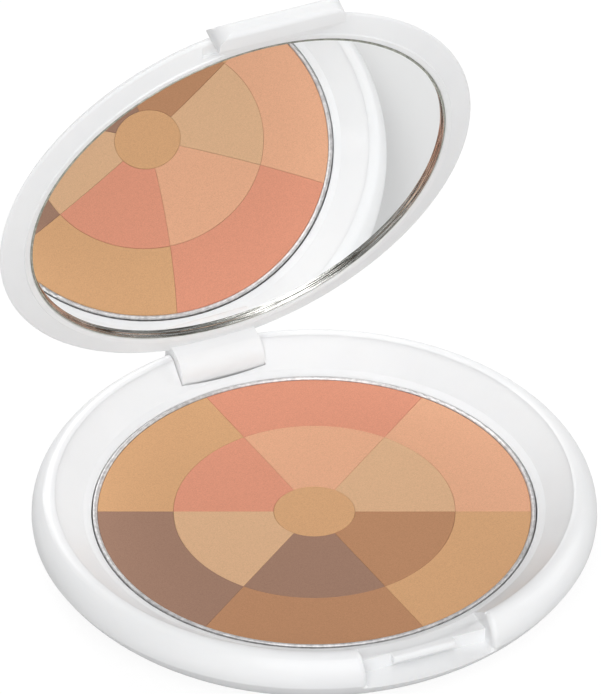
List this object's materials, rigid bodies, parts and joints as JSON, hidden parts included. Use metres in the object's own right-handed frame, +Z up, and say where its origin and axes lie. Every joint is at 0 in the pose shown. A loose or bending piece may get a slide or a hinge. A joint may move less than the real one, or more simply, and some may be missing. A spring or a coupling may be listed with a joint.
{
  "type": "powder compact",
  "caption": "Round white compact with a hinged lid carrying a mirror, a rim latch tab and a pan of pressed powder set as a mosaic of coloured sectors.",
  "frame": {"origin": "centre of the foot plane, under the middle of the powder pan", "axes": "+Z up, +Y towards the hinge, -Y towards the thumb tab, +X along the hinge axis to the right of someone facing the tab"},
  "size_m": [0.0752, 0.0745, 0.0775],
  "materials": {
    "white_plastic": "smooth, softly glossy, slightly translucent white",
    "pan_metal": "pressed, satin",
    "adhesive": "double-sided pad",
    "mirror_glass": "silvered glass with a ground edge",
    "pin_steel": "plain drawn steel",
    "powder_tan": "pressed powder, fine grain",
    "powder_peach": "pressed powder, fine grain",
    "powder_salmon": "pressed powder, fine grain",
    "powder_mauve": "pressed powder, fine grain",
    "powder_brown": "pressed powder, fine grain",
    "powder_beige": "pressed powder, fine grain"
  },
  "bodies": {
    "base": {"base_shell": "white_plastic", "base_ring": "white_plastic", "pan": "pan_metal", "pan_adhesive": "adhesive", "powder_centre": "powder_tan", "powder_inner_1": "powder_beige", "powder_inner_2": "powder_peach", "powder_inner_3": "powder_salmon", "powder_inner_4": "powder_beige", "powder_inner_5": "powder_mauve", "powder_inner_6": "powder_brown", "powder_outer_1": "powder_peach", "powder_outer_2": "powder_salmon", "powder_outer_3": "powder_tan", "powder_outer_4": "powder_mauve", "powder_outer_5": "powder_brown", "powder_outer_6": "powder_tan"},
    "lid": {"lid_shell": "white_plastic", "mirror": "mirror_glass", "mirror_adhesive": "adhesive", "hinge_pin": "pin_steel"}
  },
  "joints": [
    {"name": "lid_hinge", "type": "hinge", "parent": "base", "child": "lid", "pos_m": [0, 0.0345, 0.00795], "axis": [-1, 0, 0], "range_deg": [-74.8, 30]}
  ]
}
